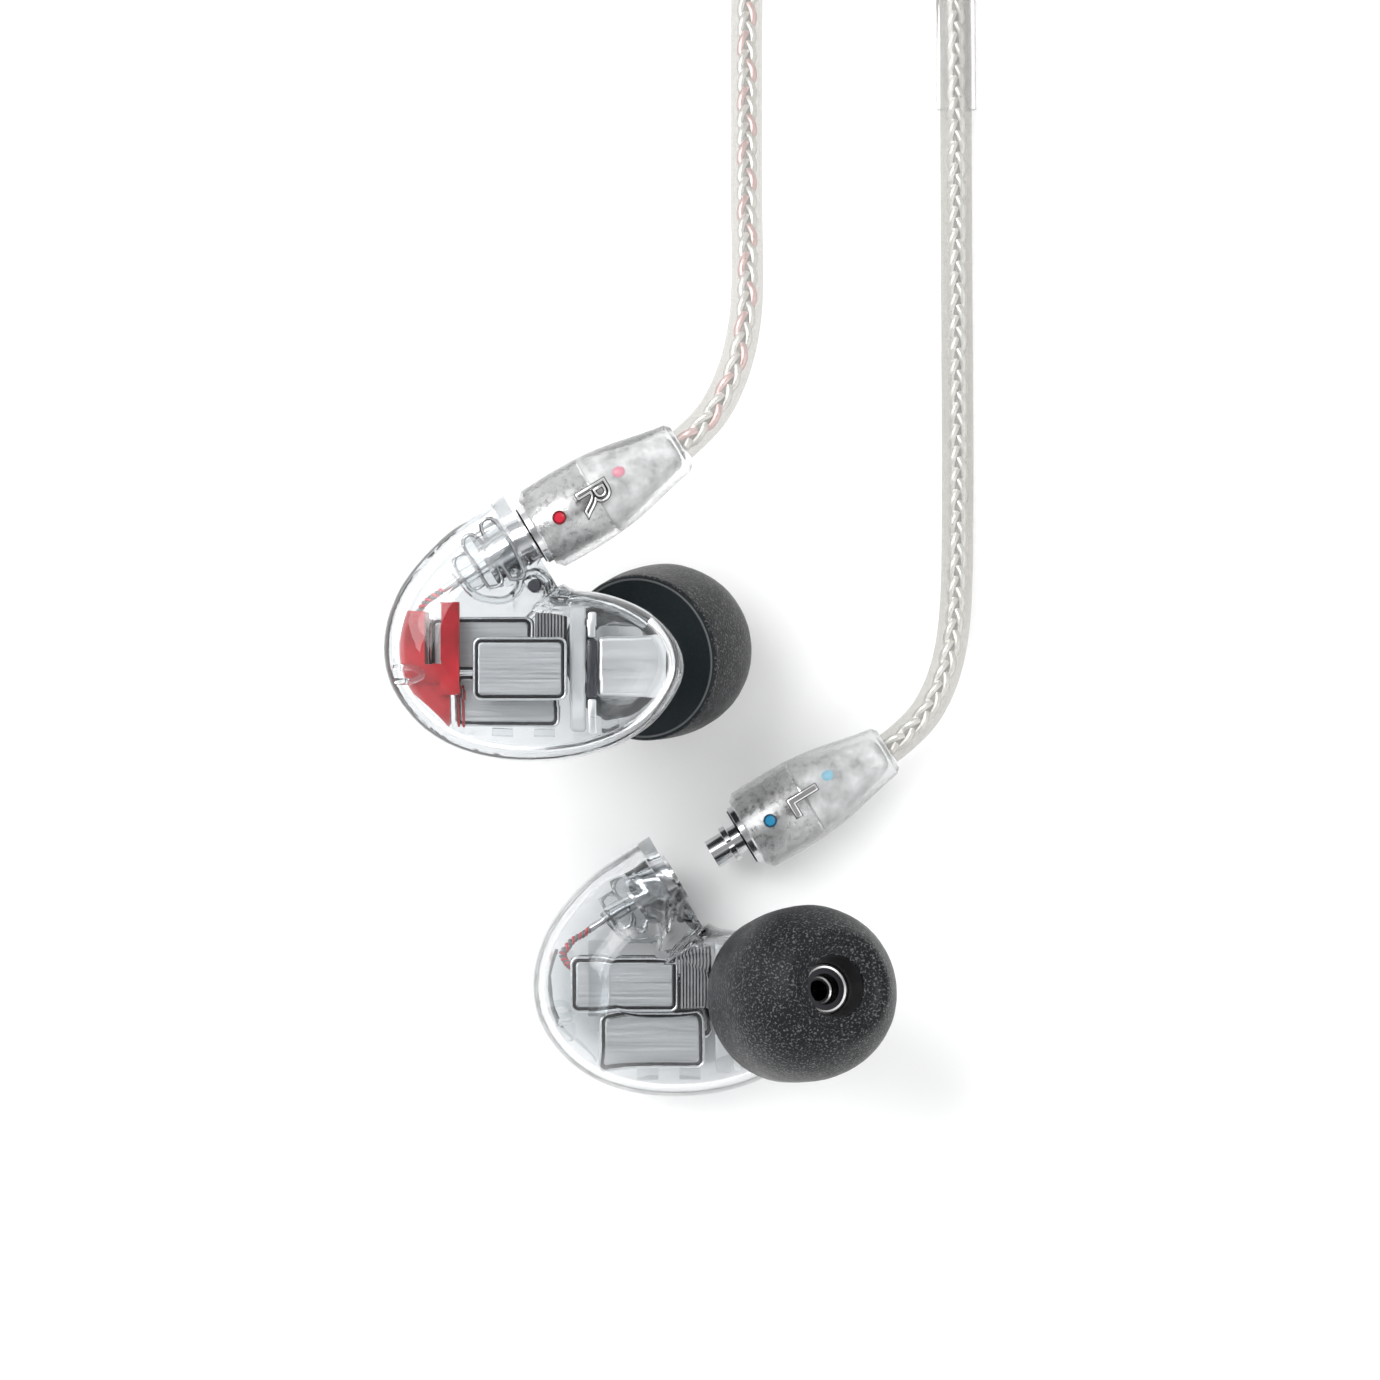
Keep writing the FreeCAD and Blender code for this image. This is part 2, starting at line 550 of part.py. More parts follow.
for side, sign, at, gap, height in (
    ("right", "R", RIGHT_SOCKET, SEATED_GAP, right_height),
    ("left", "L", LEFT_SOCKET, LEFT_GAP, AXIS_DEPTH),
):
    base = at + ALONG * gap + V(0, 0, height)
    for name, shape in plug_nodes(sign).items():
        nodes[f"{side}_{name}"] = moved(rotated(shape, PLUG_TURN), base)

nodes["right_cord"] = bent_tube(right_route(right_height), CORD_R, "right_cord")
nodes["left_cord"] = bent_tube(left_route(), CORD_R, "left_cord")
nodes["plug_lead"] = bent_tube(lead_route(), CORD_R, "plug_lead")

sleeves = []
for (run_start, run_end), offset in zip(SLEEVE_RUNS, SLEEVE_OFFSETS):
    run = V(run_end - run_start).normalize()
    sleeves.append(tube(SLEEVE_R, CORD_R + 0.02, offset, offset + SLEEVE_LENGTH, run, run_start))
nodes["cord_sleeves"] = Part.makeCompound(sleeves)

nodes["cable_coil"] = coil()
nodes["y_split"] = y_split()
nodes["slider"] = slider()
nodes["coil_tie"] = tie()

lead_end = lead_route()[-1]
lead_run = lead_end - lead_route()[-2]
heading = math.degrees(math.atan2(lead_run.y, lead_run.x))
for name, shape in jack_nodes().items():
    nodes[name] = moved(rotated(shape, heading), lead_end)

for name, shape in nodes.items():
    placed = moved(shape, LAYOUT)
    if not placed.isValid():
        print("not valid:", name)
    placed.exportStep(f"parts/{name}.step")

box = FreeCAD.BoundBox()
for name, shape in nodes.items():
    if name.split("_", 1)[-1] in ear:
        box.add(moved(shape, LAYOUT).BoundBox)
print("nodes:", len(nodes), "plug height:", round(right_height, 3))
print("earpieces' box:", [round(v, 3) for v in (box.XMin, box.XMax, box.YMin, box.YMax, box.ZMin, box.ZMax)])
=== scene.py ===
"""Looks of a pair of clear wired in-ear monitors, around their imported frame. Lengths are in millimetres."""
import json
import math
import bmesh
import bpy
from mathutils import Matrix, Vector, noise


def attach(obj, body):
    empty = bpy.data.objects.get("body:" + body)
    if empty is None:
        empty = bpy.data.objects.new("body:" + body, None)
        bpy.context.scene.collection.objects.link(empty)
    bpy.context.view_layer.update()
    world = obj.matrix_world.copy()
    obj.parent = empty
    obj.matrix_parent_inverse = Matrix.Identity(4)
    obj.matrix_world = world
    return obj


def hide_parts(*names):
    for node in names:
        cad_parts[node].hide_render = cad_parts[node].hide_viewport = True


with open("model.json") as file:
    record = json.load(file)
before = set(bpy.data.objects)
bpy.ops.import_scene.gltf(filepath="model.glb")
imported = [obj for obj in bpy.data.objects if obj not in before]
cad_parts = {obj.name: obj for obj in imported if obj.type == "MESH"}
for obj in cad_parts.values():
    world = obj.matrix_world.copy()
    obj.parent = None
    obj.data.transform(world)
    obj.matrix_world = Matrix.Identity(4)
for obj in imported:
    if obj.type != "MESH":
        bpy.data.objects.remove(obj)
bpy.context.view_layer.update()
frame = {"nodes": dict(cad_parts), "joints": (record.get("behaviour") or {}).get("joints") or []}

MM = 0.001
SIDES = ("right", "left")
JOINTS = {joint["name"]: joint for joint in frame["joints"]}
SOCKET = {side: Vector(JOINTS[side + "_swivel"]["pos_m"]) / MM for side in SIDES}
ALONG = Vector(JOINTS["right_swivel"]["axis"])      # both plug axes
SHIFT = Vector((3.825, 8.15, 0.0))                  # from the layout's own origin to the frame's

# ---- camera ----
CAMERA_HEIGHT, CAMERA_LENS, SENSOR = 600.3, 200.0, 36.0

# ---- plugs and cable ----
AXIS_DEPTH = 3.9
BOOT_R, BOOT_LENGTH = 3.3, 12.7
BOOT_GAP = {"right": 0.8, "left": 6.7}
CORD_R = 1.25
PAIR_X = (12.4, 15.0)
THREADED_Z = 2.1
COIL_AT = Vector((-4.1, 122.0, 0.0))
COIL_BASE, COIL_INNER_R, COIL_COLUMNS, COIL_LAYERS = 0.6, 10.25, 3, 5
LAYER = [COIL_BASE + CORD_R * (2 * i + 1) for i in range(COIL_LAYERS)]
RING = [COIL_INNER_R + CORD_R * (2 * i + 1) for i in range(COIL_COLUMNS)]
LEAD_R = COIL_INNER_R + 2 * CORD_R * COIL_COLUMNS + CORD_R + 0.3
PLUG_AXIS_Z = 2.9

# ---- nozzle and foam tip, in the earpiece's own frame: outer face at z 0, depth downwards ----
TIP_BASE = Vector((8.33, -9.10, -12.3))
TIP_LEAN, TIP_BEARING = math.radians(26), math.radians(18)
TIP_AXIS = Vector((math.sin(TIP_LEAN) * math.cos(TIP_BEARING), math.sin(TIP_LEAN) * math.sin(TIP_BEARING),
                   -math.cos(TIP_LEAN)))
TIP_CORE_R = 2.75


# ======== helpers ========
def link(obj):
    """Puts an object in the scene."""
    bpy.context.scene.collection.objects.link(obj)
    return obj


def at_layout(x, y, z):
    """A point of the layout, as millimetres in the frame."""
    return Vector((x, y, z)) + SHIFT


def in_frame(side, point):
    """A point of an earpiece's own frame, as millimetres in the frame. The left one is mirrored."""
    flip = 1 if side == "right" else -1
    origin = SOCKET[side] + Vector((0, 0, AXIS_DEPTH * flip))
    return origin + Vector((point[0], point[1], point[2] * flip))


def mesh_piece(name, points, faces, material, smooth=True):
    """A mesh from points in millimetres of the frame."""
    mesh = bpy.data.meshes.new(name)
    mesh.from_pydata([Vector(p) * MM for p in points], [], faces)
    mesh.validate()
    mesh.shade_smooth() if smooth else mesh.shade_flat()
    mesh.materials.append(material)
    return link(bpy.data.objects.new(name, mesh))


def outward(obj):
    """Makes a closed mesh's faces point outwards."""
    work = bmesh.new()
    work.from_mesh(obj.data)
    bmesh.ops.remove_doubles(work, verts=work.verts, dist=1e-7)
    bmesh.ops.recalc_face_normals(work, faces=work.faces)
    work.to_mesh(obj.data)
    work.free()
    return obj


def sharpened(obj, angle=35.0):
    """Smooth shading that keeps the edges turned by more than angle."""
    limit = math.radians(angle)
    obj.data.shade_smooth()
    obj.data.set_sharp_from_angle(angle=limit)
    return obj


def catmull(points, steps, closed=False):
    """A smooth line through points."""
    out = []
    count = len(points)
    spans = count if closed else count - 1
    for i in range(spans):
        a, b, c, d = (points[(i + k) % count if closed else min(max(i + k, 0), count - 1)]
                      for k in (-1, 0, 1, 2))
        for j in range(steps):
            t = j / steps
            out.append(0.5 * (2 * b + (c - a) * t + (2 * a - 5 * b + 4 * c - d) * t * t
                              + (3 * b - 3 * c + d - a) * t ** 3))
    if not closed:
        out.append(points[-1].copy())
    return out


def frames_along(path):
    """Two unit vectors across the path at each point, turning as little as they can."""
    tangents = []
    for i in range(len(path)):
        ahead = path[min(i + 1, len(path) - 1)] - path[max(i - 1, 0)]
        tangents.append(ahead.normalized())
    side = tangents[0].cross(Vector((0, 0, 1)))
    if side.length < 1e-3:
        side = Vector((1, 0, 0))
    out = []
    for tangent in tangents:
        side = (side - tangent * side.dot(tangent)).normalized()
        out.append((side.copy(), tangent.cross(side)))
    return out


def swept(path, radius, sides=8, across=None):
    """Points and faces of a capped tube along path. across(i) gives its own radius at point i."""
    points, faces = [], []
    for i, (centre, (u, v)) in enumerate(zip(path, frames_along(path))):
        r = across(i) if across else radius
        for k in range(sides):
            turn = 2 * math.pi * k / sides
            points.append(centre + u * (r * math.cos(turn)) + v * (r * math.sin(turn)))
    for i in range(len(path) - 1):
        for k in range(sides):
            after = (k + 1) % sides
            faces.append((i * sides + k, i * sides + after, (i + 1) * sides + after, (i + 1) * sides + k))
    faces.append(tuple(reversed(range(sides))))
    last = (len(path) - 1) * sides
    faces.append(tuple(range(last, last + sides)))
    return points, faces


def joined(parts):
    """One list of points and faces from several."""
    points, faces = [], []
    for more_points, more_faces in parts:
        base = len(points)
        points += more_points
        faces += [tuple(i + base for i in face) for face in more_faces]
    return points, faces


def revolved(profile, origin, axis, sides=96, closed=True):
    """Points and faces of (distance, radius) pairs turned about an axis."""
    axis = Vector(axis).normalized()
    u = axis.cross(Vector((0, 0, 1)) if abs(axis.z) < 0.9 else Vector((1, 0, 0))).normalized()
    v = axis.cross(u)
    points, faces = [], []
    for distance, r in profile:
        for k in range(sides):
            turn = 2 * math.pi * k / sides
            points.append(origin + axis * distance + u * (r * math.cos(turn)) + v * (r * math.sin(turn)))
    rows = len(profile)
    for i in range(rows if closed else rows - 1):
        j = (i + 1) % rows
        for k in range(sides):
            after = (k + 1) % sides
            faces.append((i * sides + k, i * sides + after, j * sides + after, j * sides + k))
    return points, faces


def rounded_block(x0, x1, y0, y1, near, far, corner=0.3, steps=4):
    """Points and faces of a block of the earpiece: upright edges round, both faces' rims bevelled."""
    def ring(inset):
        loop = []
        r = max(corner - inset, 0.02)
        for cx, cy, start in ((x1, y1, 0), (x0, y1, 90), (x0, y0, 180), (x1, y0, 270)):
            dx = cx - math.copysign(corner, cx - (x0 + x1) / 2)
            dy = cy - math.copysign(corner, cy - (y0 + y1) / 2)
            for k in range(steps + 1):
                turn = math.radians(start + 90 * k / steps)
                loop.append((dx + r * math.cos(turn), dy + r * math.sin(turn)))
        return loop
    bevel = min(corner * 0.6, (far - near) * 0.3)
    levels = [(bevel, near), (bevel * 0.29, near + bevel * 0.29), (0, near + bevel),
              (0, far - bevel), (bevel * 0.29, far - bevel * 0.29), (bevel, far)]
    points = [Vector((x, y, -depth)) for inset, depth in levels for x, y in ring(inset)]
    count = 4 * (steps + 1)
    faces = [tuple(range(count)), tuple(reversed(range(count * 5, count * 6)))]
    for i in range(5):
        for k in range(count):
            after = (k + 1) % count
            faces.append((i * count + k, (i + 1) * count + k, (i + 1) * count + after, i * count + after))
    return points, faces


def ear_piece(side, name, parts, material, smooth_angle=40.0):
    """A piece given in the earpiece's own frame, riding on the earpiece."""
    points, faces = joined(parts)
    obj = mesh_piece(f"{side}_{name}", [in_frame(side, p) for p in points], faces, material)
    sharpened(outward(obj), smooth_angle)
    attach(obj, side + "_earpiece")
    return obj


# ======== materials ========
def new_material(name):
    """A material with its node tree's nodes, links and main shader."""
    material = bpy.data.materials.new(name)
    material.use_nodes = True
    tree = material.node_tree
    return material, tree.nodes, tree.links, tree.nodes["Principled BSDF"]


def grain(nodes, links, scale, detail=3.0, stretch=(1, 1, 1), roughness=0.55):
    """Noise over the piece's own coordinates, scale in cycles per millimetre."""
    where = nodes.new("ShaderNodeTexCoord")
    mapping = nodes.new("ShaderNodeMapping")
    mapping.inputs["Scale"].default_value = [s / MM for s in stretch]
    links.new(where.outputs["Object"], mapping.inputs["Vector"])
    texture = nodes.new("ShaderNodeTexNoise")
    texture.inputs["Scale"].default_value = scale
    texture.inputs["Detail"].default_value = detail
    texture.inputs["Roughness"].default_value = roughness
    links.new(mapping.outputs["Vector"], texture.inputs["Vector"])
    return texture.outputs["Fac"], mapping


def ranged(nodes, links, value, low, high, start=0.3, end=0.7):
    """A value from start to end, mapped to low to high."""
    node = nodes.new("ShaderNodeMapRange")
    for key, number in (("From Min", start), ("From Max", end), ("To Min", low), ("To Max", high)):
        node.inputs[key].default_value = number
    links.new(value, node.inputs["Value"])
    return node.outputs["Result"]


def mixed(nodes, links, value, first, second, start=0.3, end=0.7):
    """A colour between first and second."""
    node = nodes.new("ShaderNodeMix")
    node.data_type = "RGBA"
    node.inputs["A"].default_value = (*first, 1)
    node.inputs["B"].default_value = (*second, 1)
    links.new(ranged(nodes, links, value, 0, 1, start, end), node.inputs["Factor"])
    return node.outputs["Result"]


def bumped(nodes, links, shader, height, distance, strength=1.0, first=None):
    """Bump of distance in millimetres."""
    node = nodes.new("ShaderNodeBump")
    node.inputs["Distance"].default_value = distance * MM
    node.inputs["Strength"].default_value = strength
    links.new(height, node.inputs["Height"])
    if first:
        links.new(first, node.inputs["Normal"])
    if shader:
        links.new(node.outputs["Normal"], shader.inputs["Normal"])
    return node.outputs["Normal"]


def clear(name, tint, rough=0.02, ior=1.49, ripple=0.004, ripple_scale=0.35, shade=0.9,
          passing_share=1.0, coat=0.0):
    """See-through plastic. Light reaches what is behind it as through a thin tinted pane."""
    material, nodes, links, shader = new_material(name)
    shader.inputs["Transmission Weight"].default_value = passing_share
    shader.inputs["Coat Weight"].default_value = coat
    shader.inputs["Roughness"].default_value = rough
    shader.inputs["IOR"].default_value = ior
    height, _ = grain(nodes, links, ripple_scale, 2.0)
    links.new(mixed(nodes, links, height, tint, [c * 0.97 for c in tint]), shader.inputs["Base Color"])
    bumped(nodes, links, shader, height, ripple)
    passing = nodes.new("ShaderNodeBsdfTransparent")
    passing.inputs["Color"].default_value = (shade, shade, shade, 1)
    light = nodes.new("ShaderNodeLightPath")
    mix = nodes.new("ShaderNodeMixShader")
    links.new(light.outputs["Is Shadow Ray"], mix.inputs["Fac"])
    links.new(shader.outputs["BSDF"], mix.inputs[1])
    links.new(passing.outputs["BSDF"], mix.inputs[2])
    links.new(mix.outputs["Shader"], nodes["Material Output"].inputs["Surface"])
    return material


def metal(name, colour, rough, brushed=(1, 1, 1), scale=2.0, depth=0.004, spread=0.08, vary=0.94):
    """Metal with streaks. brushed stretches them, and vary is the darkest one's share of the colour."""
    material, nodes, links, shader = new_material(name)
    shader.inputs["Metallic"].default_value = 1.0
    streaks, _ = grain(nodes, links, scale, 4.0, brushed)
    links.new(mixed(nodes, links, streaks, [c * vary for c in colour], colour), shader.inputs["Base Color"])
    links.new(ranged(nodes, links, streaks, rough - spread / 2, rough + spread), shader.inputs["Roughness"])
    bumped(nodes, links, shader, streaks, depth)
    return material


def plastic(name, colour, rough=0.4, scale=1.5, depth=0.01, coat=0.0, vary=0.85):
    """Opaque plastic or rubber with a faint mottle."""
    material, nodes, links, shader = new_material(name)
    texture, _ = grain(nodes, links, scale)
    links.new(mixed(nodes, links, texture, [c * vary for c in colour], colour), shader.inputs["Base Color"])
    links.new(ranged(nodes, links, texture, rough * 0.85, rough * 1.15), shader.inputs["Roughness"])
    shader.inputs["Coat Weight"].default_value = coat
    shader.inputs["Coat Roughness"].default_value = 0.08
    bumped(nodes, links, shader, texture, depth)
    return material


def foam(name, pores, rough, colour, pore_glint, share):
    """Slow-recovery foam: a black skin with fine open pores whose lips catch the light, as lighter dots
    painted into its colour: a painted glint.
    """
    material, nodes, links, shader = new_material(name)
    fine, _ = grain(nodes, links, 5.8, 2.0)
    broad, _ = grain(nodes, links, 0.4, 3.0)
    # lighter colour where the pores' lips stand highest: painted glint
    links.new(mixed(nodes, links, fine, colour, pore_glint, share, share + 0.12), shader.inputs["Base Color"])
    links.new(ranged(nodes, links, broad, rough - 0.05, rough + 0.07), shader.inputs["Roughness"])
    shader.inputs["Specular IOR Level"].default_value = 0.22
    bumped(nodes, links, shader, fine, pores)
    return material


def weave(name, colour, pitch=0.5):
    """A woven strap: two crossing sets of threads, with painted shade in the hollows between them."""
    material, nodes, links, shader = new_material(name)
    where = nodes.new("ShaderNodeTexCoord")
    mapping = nodes.new("ShaderNodeMapping")
    mapping.inputs["Scale"].default_value = (1 / MM, 1 / MM, 1 / MM)
    mapping.inputs["Rotation"].default_value = (0, 0, math.radians(60))
    links.new(where.outputs["Object"], mapping.inputs["Vector"])
    heights = []
    for direction in ("X", "Y"):
        wave = nodes.new("ShaderNodeTexWave")
        wave.bands_direction = direction
        wave.inputs["Scale"].default_value = 1 / pitch
        wave.inputs["Distortion"].default_value = 0.6
        links.new(mapping.outputs["Vector"], wave.inputs["Vector"])
        heights.append(wave.outputs["Fac"])
    top = nodes.new("ShaderNodeMath")
    top.operation = "MAXIMUM"
    links.new(heights[0], top.inputs[0])
    links.new(heights[1], top.inputs[1])
    # down to 0.4 of the colour in the weave's hollows: painted shade
    links.new(mixed(nodes, links, top.outputs[0], [c * 0.4 for c in colour], colour, 0.2, 1.0),
              shader.inputs["Base Color"])
    shader.inputs["Roughness"].default_value = 0.85
    bumped(nodes, links, shader, top.outputs[0], 0.08)
    return material


SHELL = clear("clear shell", (0.875, 0.89, 0.90), rough=0.0, ior=1.32, ripple=0.012, coat=0.3)
MOULDED = clear("clear moulding", (0.90, 0.92, 0.93), rough=0.03, ior=1.33, ripple=0.01, ripple_scale=0.8,
                coat=0.4)
MILKY = clear("milky moulding", (0.86, 0.87, 0.88), rough=0.12, ior=1.3, ripple=0.01, ripple_scale=0.8,
              passing_share=0.6)
JACKET = clear("cable jacket", (0.62, 0.61, 0.585), rough=0.05, ior=1.18, ripple=0.006, ripple_scale=0.9,
               passing_share=0.80)
SLEEVE = clear("clear sleeve", (0.93, 0.93, 0.93), rough=0.06, ior=1.30)
FROSTED = clear("frosted boot", (0.86, 0.865, 0.87), rough=0.15, ior=1.36, ripple=0.05, ripple_scale=3.0,
                shade=0.85, passing_share=0.9)
STEEL = metal("brushed lid", (0.54, 0.55, 0.56), 0.40, (0.08, 4.0, 1.0), 1.4, 0.003, 0.1, 0.78)
CAN_SIDE = metal("can side", (0.55, 0.56, 0.57), 0.22, scale=0.5, depth=0.002)
RIM = metal("polished rim", (0.85, 0.86, 0.87), 0.14, scale=1.2)
# Black: the plug flange's rubber seal, and painted shade in the cans' rings, in the filter's gap and round
# the letters.
BLACK_SEAL_AND_SHADE = metal("black seal and painted shade", (0.03, 0.03, 0.033), 0.35)
PLATE = metal("filter plates", (0.85, 0.86, 0.87), 0.16, scale=0.6, depth=0.001)
SATIN = metal("satin steel", (0.84, 0.845, 0.85), 0.30, (0.1, 2.0, 1.0), 0.8, 0.001, 0.06, 0.95)
CHROME = metal("bright plating", (0.66, 0.66, 0.67), 0.15, scale=0.8, depth=0.001, spread=0.04)
GOLD = metal("gold plating", (0.86, 0.66, 0.32), 0.18, scale=0.8, depth=0.001, spread=0.05)
RED = plastic("red moulding", (0.50, 0.001, 0.010), 0.34, scale=0.35, depth=0.02, coat=0.1, vary=0.45)
RED_DOT = plastic("red mark", (0.55, 0.006, 0.03), 0.3, coat=0.5)
DARK_RED = plastic("dark red", (0.14, 0.001, 0.004), 0.3, coat=0.5)
BLUE_DOT = plastic("blue mark", (0.008, 0.24, 0.45), 0.3, coat=0.5)
PINK_SPOT = plastic("pink wire end", (0.72, 0.22, 0.30), 0.4, coat=0.3)
BLUE_SPOT = plastic("pale blue wire end", (0.20, 0.52, 0.68), 0.4, coat=0.3)
DARK_BLUE = plastic("dark blue", (0.006, 0.05, 0.10), 0.3, coat=0.5)
RED_WIRE = plastic("red enamel", (0.50, 0.01, 0.03), 0.3, coat=0.3)
DARK_WIRE = plastic("dark enamel", (0.10, 0.10, 0.11), 0.3, coat=0.3)
SMOKE = plastic("smoked damper", (0.02, 0.022, 0.03), 0.25, coat=0.4)
# the skin's lighter dots are painted glints on its pores
FOAM_SKIN = foam("foam skin", 0.075, 0.36, (0.003, 0.004, 0.005), (0.10, 0.105, 0.11), 0.545)
FOAM_BACK = foam("foam back", 0.004, 0.48, (0.004, 0.008, 0.010), (0.007, 0.012, 0.014), 0.5)
# Pale grey ring for the foam's back rim: painted highlight.
FOAM_RIM_HIGHLIGHT = plastic("painted foam rim highlight", (0.10, 0.105, 0.11), 0.5)
CORE_RUBBER = plastic("black rubber", (0.012, 0.012, 0.013), 0.38)
# Steel painted near black: painted shade down the nozzle's bore.
BORE_SHADE_STEEL = metal("steel painted with bore shade", (0.04, 0.04, 0.045), 0.3)
RING_STEEL = metal("nozzle ring", (0.80, 0.80, 0.80), 0.3)
STRAND = metal("silver strand", (0.97, 0.965, 0.95), 0.36, (1, 1, 1), 6.0, 0.02, 0.2, 0.82)
# Grey for the plait's core: painted shade in the gap between its strands.
STRAND_GAP_SHADE = plastic("painted shade between strands", (0.30, 0.295, 0.28), 0.6)
ROSE_STRAND = metal("rose strand", (0.97, 0.72, 0.72), 0.36, (1, 1, 1), 6.0, 0.02, 0.2, 0.82)
FERRULE = metal("grained ferrule", (0.60, 0.60, 0.60), 0.28, (1, 1, 1), 2.0, 0.05, 0.25, 0.5)
PALE_RESIN = plastic("milky resin", (0.76, 0.77, 0.77), 0.3, scale=0.6, depth=0.35, coat=0.6, vary=0.32)
PALE_METAL = plastic("pale anodising", (0.72, 0.73, 0.74), 0.25, scale=0.5, coat=0.5, vary=0.9)
LETTERING = metal("raised letter", (0.80, 0.80, 0.80), 0.14, scale=0.8, depth=0.001)
BLACK = plastic("satin black", (0.018, 0.018, 0.02), 0.35)
STRAP = weave("woven strap", (0.03, 0.03, 0.032))


# ======== stage, light and camera ========
SKY = ((0.0, 0.80), (0.2, 0.95), (0.5, 1.15), (0.8, 1.15), (0.93, 0.70), (1.0, 0.34))   # height, brightness
SKY_STRENGTH = 0.95
LAMPS = (("key", (-420, 300, 620), 520, 4.4), ("fill", (500, -300, 500), 500, 0.9))     # place, size, watts
FLOOR_HALF = 1500


def stage():
    """The white floor, a sky that is brightest above the horizon, and two soft lamps."""
    paper = plastic("floor", (0.96, 0.96, 0.96), 0.8, scale=0.05, depth=0.0, vary=0.995)
    corners = [(FLOOR_HALF * x, FLOOR_HALF * y, 0) for x, y in ((-1, -1), (1, -1), (1, 1), (-1, 1))]
    mesh_piece("floor", corners, [(0, 1, 2, 3)], paper)
    world = bpy.data.worlds.new("studio")
    bpy.context.scene.world = world
    world.use_nodes = True
    nodes, links = world.node_tree.nodes, world.node_tree.links
    where = nodes.new("ShaderNodeTexCoord")
    split = nodes.new("ShaderNodeSeparateXYZ")
    links.new(where.outputs["Generated"], split.inputs["Vector"])
    ramp = nodes.new("ShaderNodeValToRGB")
    for height, _ in SKY[1:-1]:
        ramp.color_ramp.elements.new(height)
    for stop, (_, level) in zip(ramp.color_ramp.elements, SKY):
        stop.color = (level, level * 1.005, level * 1.01, 1)
    links.new(split.outputs["Z"], ramp.inputs["Fac"])
    links.new(ramp.outputs["Color"], nodes["Background"].inputs["Color"])
    nodes["Background"].inputs["Strength"].default_value = SKY_STRENGTH
    for name, place, size, energy in LAMPS:
        data = bpy.data.lights.new(name, "AREA")
        data.size, data.energy = size * MM, energy
        lamp = link(bpy.data.objects.new(name, data))
        lamp.location = Vector(place) * MM
        lamp.rotation_euler = (-Vector(place)).to_track_quat("-Z", "Y").to_euler()


def camera():
    """Straight down on the layout from CAMERA_HEIGHT."""
    data = bpy.data.cameras.new("camera")
    data.lens, data.sensor_width = CAMERA_LENS, SENSOR
    data.clip_start, data.clip_end = 0.01, 10.0
    obj = link(bpy.data.objects.new("camera", data))
    obj.location = at_layout(0, 0, CAMERA_HEIGHT) * MM
    bpy.context.scene.camera = obj
    bpy.context.scene.view_settings.view_transform = "Standard"


# ======== cords ========
def boot_end(side):
    """Where the cord leaves the boot."""
    return SOCKET[side] + ALONG * (BOOT_GAP[side] + BOOT_LENGTH)


def right_route():
    height = SOCKET["right"].z
    places = [
        (1.12, 20.08, height - 0.05), (2.50, 22.12, height - 0.35), (3.67, 25.09, height - 1.0),
        (4.30, 28.43, height - 2.2), (4.42, 32.2, height - 3.9), (4.33, 36.6, height - 6.3),
        (4.36, 41.4, height - 9.2), (4.38, 46.2, height - 12.1), (4.41, 51.2, height - 14.7),
        (4.46, 56.6, 2.9), (5.60, 63.0, 1.75), (10.60, 81.2, 1.85), (PAIR_X[0] - 0.12, 89.0, THREADED_Z),
        (PAIR_X[0] + 0.02, 97.5, THREADED_Z), (PAIR_X[0] - 0.03, 107.5, THREADED_Z),
        (PAIR_X[0], 117.0, LAYER[0]),
    ]
    return [boot_end("right")] + [at_layout(*p) for p in places]


def left_route():
    places = [
        (17.30, -3.15, 3.85), (18.98, -0.92, 3.6), (20.10, 1.95, 3.1), (20.68, 5.3, 2.5), (20.88, 9.6, 2.0),
        (20.93, 17.5, 1.65), (20.84, 31.0, 1.6), (20.72, 58.0, 1.6), (20.0, 68.0, 1.65), (16.8, 82.0, 1.9),
        (PAIR_X[1] + 0.12, 90.0, THREADED_Z), (PAIR_X[1] - 0.02, 99.0, THREADED_Z),
        (PAIR_X[1] + 0.03, 109.5, THREADED_Z + 0.1), (PAIR_X[1] - 1.7, 119.0, LAYER[1] - 0.1),
    ]
    return [boot_end("left")] + [at_layout(*p) for p in places]


def on_coil(bearing, radius, height):
    turn = math.radians(bearing)
    return at_layout(COIL_AT.x + radius * math.cos(turn), COIL_AT.y + radius * math.sin(turn), height)


def in_coil(x, y, height):
    return at_layout(COIL_AT.x + x, COIL_AT.y + y, height)


STEP = 22.5                      # degrees between a turn's control points
INSIDE = math.cos(math.radians(STEP / 2))   # how far the spline runs inside them
CHANGE = 45.0                    # the share of each turn in which it moves to the next place


def wound(places, phase, start):
    """Turns through (radius, height) places, each held for all but CHANGE degrees of its turn."""
    points = []
    bearing = start
    while bearing <= phase + 360 * len(places) - CHANGE:
        turn, within = divmod(bearing - phase, 360)
        here = places[int(turn)]
        share = max(0.0, (within - 360 + CHANGE) / CHANGE)
        if share:
            following = places[int(turn) + 1]
            share = share * share * (3 - 2 * share)
            here = [a + (b - a) * share for a, b in zip(here, following)]
        points.append(on_coil(bearing, here[0] / INSIDE, here[1]))
        bearing += STEP
    return points


def ear_tail(height):
    """Off the innermost turn and into the Y-split."""
    curl = [on_coil(337.5, 10.6, height), on_coil(0, 9.1, height), on_coil(22.5, 8.9, height),
            on_coil(45, 8.9, height), on_coil(67.5, 9.0, height)]
    inward = [(0.9, 8.9), (-2.4, 8.6), (-4.6, 6.6), (-5.0, 4.0), (-5.0, 2.4)]
    return curl + [in_coil(x, y, height) for x, y in inward]


def ear_turns(height, start):
    return wound([(r, height) for r in reversed(RING)], 0.0, start) + ear_tail(height)


